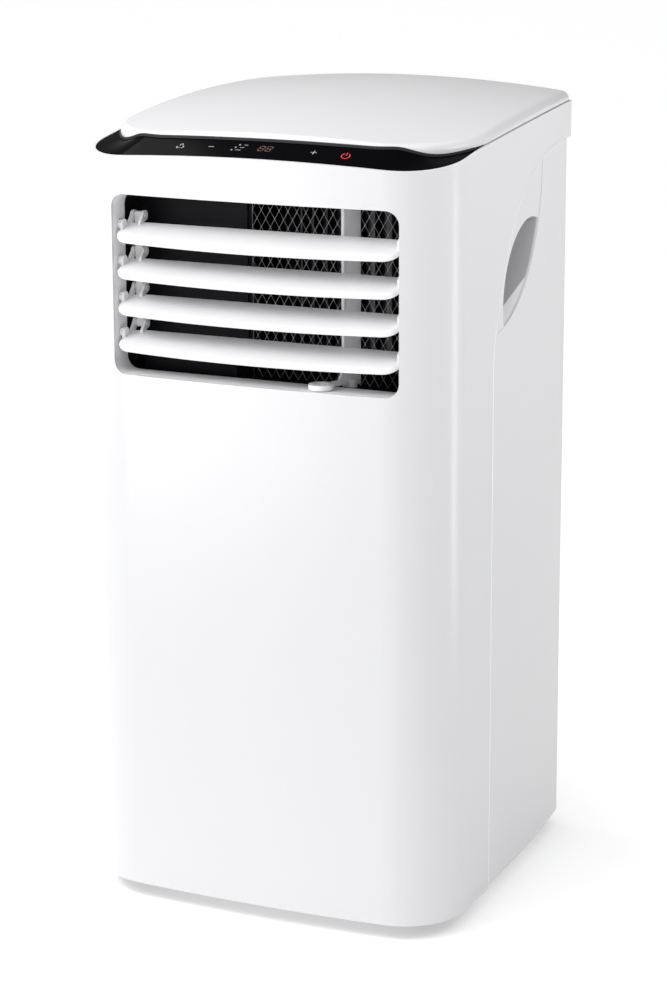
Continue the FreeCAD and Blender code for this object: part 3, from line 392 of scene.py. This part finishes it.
# --- Outlet guard ---------------------------------------------------------------------------------
GUARD_BORDER = 3.0 * MM
GUARD_DEPTH = 1.5 * MM
MESH_CELL = 8.6 * MM
MESH_HEIGHT = 14.5 * MM
WIRE_RADIUS = 0.28 * MM
JOINT_RADIUS = 0.52 * MM
JOINT_HEIGHT = 1.0 * MM


def guard_wires():
    """Diamond wire guard in its frame: bent wires joined by a drop of zinc where they meet."""
    low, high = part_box("guard_mesh")
    left = low.x + GUARD_BORDER
    right = high.x - GUARD_BORDER
    foot = low.z + GUARD_BORDER
    head = high.z - GUARD_BORDER
    columns = round((right - left) / MESH_CELL)
    rows = 2 * round((head - foot) / MESH_HEIGHT)
    cell = (right - left) / columns
    step = (head - foot) / rows
    depth = low.y + GUARD_DEPTH
    rise = Vector((0, 0, JOINT_HEIGHT))
    verts = []
    faces = []
    for column in range(columns + 1):
        for side in (-1, 1):
            points = []
            for row in range(rows + 1):
                x = left + column * cell + side * (row % 2) * cell / 2
                points.append(Vector((min(max(x, left), right), depth, foot + row * step)))
            add_wire(verts, faces, points, WIRE_RADIUS)
    for row in range(rows + 1):
        for column in range(columns + 1 - row % 2):
            centre = Vector((left + (column + row % 2 / 2) * cell, depth, foot + row * step))
            add_wire(verts, faces, [centre - rise, centre, centre + rise], JOINT_RADIUS)
    piece = mesh_piece("guard_wires", verts, faces, "casing", "bright_wire")
    rim_verts = []
    rim_faces = []
    for near, far in (
        ((low.x, low.z), (left, high.z)),
        ((right, low.z), (high.x, high.z)),
        ((left, low.z), (right, foot)),
        ((left, head), (right, high.z)),
    ):
        add_box(rim_verts, rim_faces, (near[0], low.y, near[1]), (far[0], high.y, far[1]))
    rim = mesh_piece("guard_rim", rim_verts, rim_faces, "casing", "dark_plastic")
    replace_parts(piece, "guard_mesh")
    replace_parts(rim, "guard_mesh")


# --- Heat exchanger fins --------------------------------------------------------------------------
FIN_PITCH = 1.8 * MM
FIN_THICKNESS = 0.35 * MM
FIN_MARGIN = 3 * MM
FIN_OUTER = 1.2 * MM
FIN_INNER = 3.2 * MM


def coil_fins(node):
    """Fin edges that stand out of a coil's front and rear faces."""
    low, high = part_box(node)
    faces_of_coil = (
        (low.y + FIN_OUTER, low.y + FIN_INNER),
        (high.y - FIN_INNER, high.y - FIN_OUTER),
    )
    verts = []
    faces = []
    for i in range(int((high.x - low.x - 2 * FIN_MARGIN) / FIN_PITCH)):
        x = low.x + FIN_MARGIN + FIN_PITCH * i
        end = x + FIN_THICKNESS
        for near, far in faces_of_coil:
            add_box(verts, faces, (x, near, low.z + FIN_MARGIN), (end, far, high.z - FIN_MARGIN))
    return mesh_piece(node + "_fin_edges", verts, faces, "casing", "coil_fins")


# --- Filter net -----------------------------------------------------------------------------------
NET_PITCH = 2.6 * MM
THREAD_HALF = 0.22 * MM


def filter_net():
    """Woven dust net in place of the plain sheet behind the removable grille."""
    low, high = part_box("upper_filter_mesh")
    half = THREAD_HALF
    middle = (low.y + high.y) / 2
    verts = []
    faces = []
    for i in range(int((high.x - low.x) / NET_PITCH)):
        x = low.x + NET_PITCH * (i + 0.5)
        add_box(verts, faces, (x - half, middle - 2 * half, low.z), (x + half, middle, high.z))
    for i in range(int((high.z - low.z) / NET_PITCH)):
        z = low.z + NET_PITCH * (i + 0.5)
        add_box(verts, faces, (low.x, middle - half, z - half), (high.x, middle + half, z + half))
    piece = mesh_piece("filter_net_weave", verts, faces, "filter", "filter_net")
    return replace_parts(piece, "upper_filter_mesh")


# --- Edge of the front shell ----------------------------------------------------------------------
SEAM_BEAD = 0.45 * MM
SEAM_SETBACK = 0.001
SIDE_LEAST = 0.15
SIDE_CLEAR = 0.3
HALVINGS = 18
# The edge runs straight up from SEAM_FOOT, between the two SEAM_SPAN depths, and then bends about
# SEAM_TURN between the two SEAM_RADII, from SEAM_BEND's first angle and through its second.
SEAM_FOOT = 0.018
SEAM_SPAN = (-0.02, -0.07)
SEAM_RISE_STEPS = 40
SEAM_TURN = Vector((0.0, 0.160, 0.490))
SEAM_RADII = (0.12, 0.26)
SEAM_BEND = (180, 85)
SEAM_BEND_STEPS = 60


def seam_bead(side, name):
    """Rounded lip along the front shell's rear edge, up the side and over the grip, painted lighter than
    the casing as a painted highlight.
    """
    shell = surface_of("front_shell")

    # The x of the casing's side at a place, or None where the shell doesn't reach.
    def skin_x(place):
        hit = shell.ray_cast(Vector((side * SIDE_CLEAR, place.y, place.z)), Vector((-side, 0, 0)))[0]
        return hit.x if hit is not None and abs(hit.x) > SIDE_LEAST else None

    # The shell's edge between a place past it and a place on it.
    def edge(inner, outer):
        away = (outer - inner).normalized()
        for _ in range(HALVINGS):
            middle = (inner + outer) / 2
            if skin_x(middle):
                outer = middle
            else:
                inner = middle
        return Vector((skin_x(outer + away * SEAM_SETBACK), outer.y, outer.z))

    points = []
    for i in range(SEAM_RISE_STEPS):
        z = SEAM_FOOT + (SEAM_TURN.z - SEAM_FOOT) * i / SEAM_RISE_STEPS
        points.append(edge(*(Vector((0, y, z)) for y in SEAM_SPAN)))
    for i in range(SEAM_BEND_STEPS + 1):
        turn = math.radians(SEAM_BEND[0] - SEAM_BEND[1] * i / SEAM_BEND_STEPS)
        away = Vector((0, math.cos(turn), math.sin(turn)))
        points.append(edge(*(SEAM_TURN + away * radius for radius in SEAM_RADII)))
    verts = []
    faces = []
    add_wire(verts, faces, points, SEAM_BEAD)
    piece = mesh_piece(name, verts, faces, "casing", "white_casing")
    # The lip takes the lighter edge look, a painted highlight.
    piece.data.materials.clear()
    piece.data.materials.append(EDGE_HIGHLIGHT_LOOK)
    return piece


# --- Marks on the touch strip ---------------------------------------------------------------------
MARK_LIFT = 0.12 * MM
ABOVE_STRIP = 0.9
# The marks from left to right, in millimetres and degrees.
MARK_Y = -159.0
FAN_X = -72
FAN_BLADES = 3
BLADE_REACH = 2.2
BLADE_OUTER = 1.7
BLADE_INNER = 1.1
BLADE_SWEEP = 230
MINUS_X = -43
MINUS_SIZE = (5.2, 0.6)
SPEED_ROWS = ((-18, -4.0, 5.0), (-16, 0.0, 4.2), (-14, 4.0, 3.4))
SPEED_DOT = 0.8
SPEED_STROKE = 0.55
DIGITS_X = (4, 11)
DIGIT_SLANT = 0.15
DIGIT_LEVELS = (-3.6, 0.0, 3.6)
DIGIT_SIDES = (-2.2, 2.2)
DIGIT_UPRIGHTS = (-1.8, 1.8)
LEVEL_SIZE = (3.6, 0.7)
UPRIGHT_SIZE = (0.7, 2.8)
PLUS_X = 52
PLUS_LENGTH = 5.6
PLUS_STROKE = 0.65
POWER_X = 81
POWER_OUTER = 4.0
POWER_INNER = 3.2
POWER_ARC = (120, 420)
POWER_STEM = (0.8, 4.2)
POWER_STEM_LIFT = 2.6


def flat_ring(centre, outer, inner, start, end, steps=28):
    """Flat arc band as quads in the strip's plan, angles in degrees."""
    quads = []
    for i in range(steps):
        a = math.radians(start + (end - start) * i / steps)
        b = math.radians(start + (end - start) * (i + 1) / steps)
        quads.append([
            (centre[0] + r * math.cos(t), centre[1] + r * math.sin(t))
            for r, t in ((inner, a), (outer, a), (outer, b), (inner, b))
        ])
    return quads


def flat_bar(centre, size):
    """Flat bar as one quad."""
    x, y = centre
    width, height = size
    return [[(x - width / 2, y - height / 2), (x + width / 2, y - height / 2),
             (x + width / 2, y + height / 2), (x - width / 2, y + height / 2)]]


def mark_piece(name, quads, colour, glow):
    """Thin print that lies on the touch strip."""
    strip = surface_of("control_panel")
    verts = []
    faces = []
    for quad in quads:
        first = len(verts)
        for x, y in quad:
            hit = strip.ray_cast(Vector((x * MM, y * MM, ABOVE_STRIP)), Vector((0, 0, -1)))[0]
            verts.append((x * MM, y * MM, hit.z + MARK_LIFT))
        faces.append(tuple(range(first, first + 4)))
    piece = mesh_piece(name, verts, faces, "casing", "black_gloss")
    piece.data.materials.clear()
    piece.data.materials.append(mark_look(name + "_ink", colour, glow))
    return piece


def touch_marks():
    """Generic marks: fan, minus, three speed rows, a two-figure display, plus and power."""
    y = MARK_Y
    white = []
    for blade in range(FAN_BLADES):
        start = 360 // FAN_BLADES * blade
        middle = math.radians(start + 90)
        centre = (FAN_X + BLADE_REACH * math.cos(middle), y + BLADE_REACH * math.sin(middle))
        white += flat_ring(centre, BLADE_OUTER, BLADE_INNER, start, start + BLADE_SWEEP, 14)
    white += flat_bar((MINUS_X, y), MINUS_SIZE)
    for x, lift, length in SPEED_ROWS:
        white += flat_ring((x - 4, y + lift), SPEED_DOT, 0.0, 0, 360, 12)
        white += flat_bar((x + 2.0, y + lift), (length, SPEED_STROKE))
    white += flat_bar((PLUS_X, y), (PLUS_LENGTH, PLUS_STROKE))
    white += flat_bar((PLUS_X, y), (PLUS_STROKE, PLUS_LENGTH))
    mark_piece("touch_marks_white", white, MARK_WHITE, 0.05)
    power = flat_ring((POWER_X, y), POWER_OUTER, POWER_INNER, *POWER_ARC)
    power += flat_bar((POWER_X, y + POWER_STEM_LIFT), POWER_STEM)
    mark_piece("touch_mark_power", power, MARK_RED, 0.35)
    digits = []
    for x in DIGITS_X:
        for lift in DIGIT_LEVELS:
            digits += flat_bar((x + lift * DIGIT_SLANT, y + lift), LEVEL_SIZE)
        for side in DIGIT_SIDES:
            for lift in DIGIT_UPRIGHTS:
                digits += flat_bar((x + side + lift * DIGIT_SLANT, y + lift), UPRIGHT_SIZE)
    mark_piece("touch_display", digits, MARK_AMBER, 0.2)


# --- Studio ---------------------------------------------------------------------------------------
def studio_floor():
    """Pale floor, wide enough to fill the picture behind the object."""
    bpy.ops.mesh.primitive_plane_add(size=FLOOR_SIZE, location=(0, 0, 0))
    floor = bpy.context.object
    floor.name = "studio_floor"
    look = Shader("studio_pale", Roughness=0.9, Emission_Strength=FLOOR_GLOW)
    look.shader.inputs["Emission Color"].default_value = (1.0, 1.0, 1.0, 1)
    look.colour(look.noise(0.5), *FLOOR_TONES)
    floor.data.materials.append(look.material)


def soft_light(name, place, target, size, power, only_gloss):
    """Rectangular soft light aimed at a point, out of sight of the camera."""
    data = bpy.data.lights.new(name, "AREA")
    data.shape = "RECTANGLE"
    data.size = size[0]
    data.size_y = size[1]
    data.energy = power
    light = bpy.data.objects.new(name, data)
    light.location = place
    light.rotation_euler = (Vector(target) - Vector(place)).to_track_quat("-Z", "Y").to_euler()
    light.visible_camera = False
    light.visible_diffuse = not only_gloss
    bpy.context.scene.collection.objects.link(light)


def studio_light():
    """Pale surroundings that fall off to the right and rear, a steep sun and five soft panels."""
    world = bpy.data.worlds.new("studio_world")
    bpy.context.scene.world = world
    world.use_nodes = True
    nodes = world.node_tree.nodes
    links = world.node_tree.links
    back = nodes["Background"]
    back.inputs["Color"].default_value = (1.0, 1.0, 1.0, 1)
    fall = nodes.new("ShaderNodeVectorMath")
    fall.operation = "DOT_PRODUCT"
    fall.inputs[1].default_value = WORLD_FALL
    links.new(nodes.new("ShaderNodeTexCoord").outputs["Generated"], fall.inputs[0])
    level = nodes.new("ShaderNodeMath")
    level.use_clamp = True
    level.inputs[1].default_value = WORLD_LIGHT
    links.new(fall.outputs["Value"], level.inputs[0])
    links.new(level.outputs["Value"], back.inputs["Strength"])
    data = bpy.data.lights.new("key", "SUN")
    data.energy = KEY_LIGHT
    data.angle = KEY_SPREAD
    key = bpy.data.objects.new("key", data)
    key.rotation_euler = Vector(KEY_FROM).to_track_quat("Z", "Y").to_euler()
    bpy.context.scene.collection.objects.link(key)
    for panel in PANELS:
        soft_light(*panel)
    bpy.context.scene.view_settings.view_transform = "Standard"


def studio_camera():
    """Camera at its place: yaw and pitch give the line of sight, and roll turns the picture about it."""
    data = bpy.data.cameras.new("camera")
    data.lens = CAMERA_LENS
    data.sensor_width = CAMERA_SENSOR
    data.clip_end = CAMERA_REACH
    forward = Vector((-math.sin(CAMERA_YAW) * math.cos(CAMERA_PITCH),
                      math.cos(CAMERA_YAW) * math.cos(CAMERA_PITCH), -math.sin(CAMERA_PITCH)))
    right = Vector((math.cos(CAMERA_YAW), math.sin(CAMERA_YAW), 0))
    down = forward.cross(right)
    rolled_right = right * math.cos(CAMERA_ROLL) - down * math.sin(CAMERA_ROLL)
    rolled_down = right * math.sin(CAMERA_ROLL) + down * math.cos(CAMERA_ROLL)
    camera = bpy.data.objects.new("camera", data)
    turn = Matrix((rolled_right, -rolled_down, -forward)).transposed()
    camera.matrix_world = Matrix.Translation(CAMERA_PLACE) @ turn.to_4x4()
    bpy.context.scene.collection.objects.link(camera)
    bpy.context.scene.camera = camera


studio_camera()
studio_light()
studio_floor()
paint_nodes()
guard_wires()
coil_fins("evaporator")
coil_fins("condenser")
filter_net()
touch_marks()
seam_bead(1, "seam_lip_right")
seam_bead(-1, "seam_lip_left")
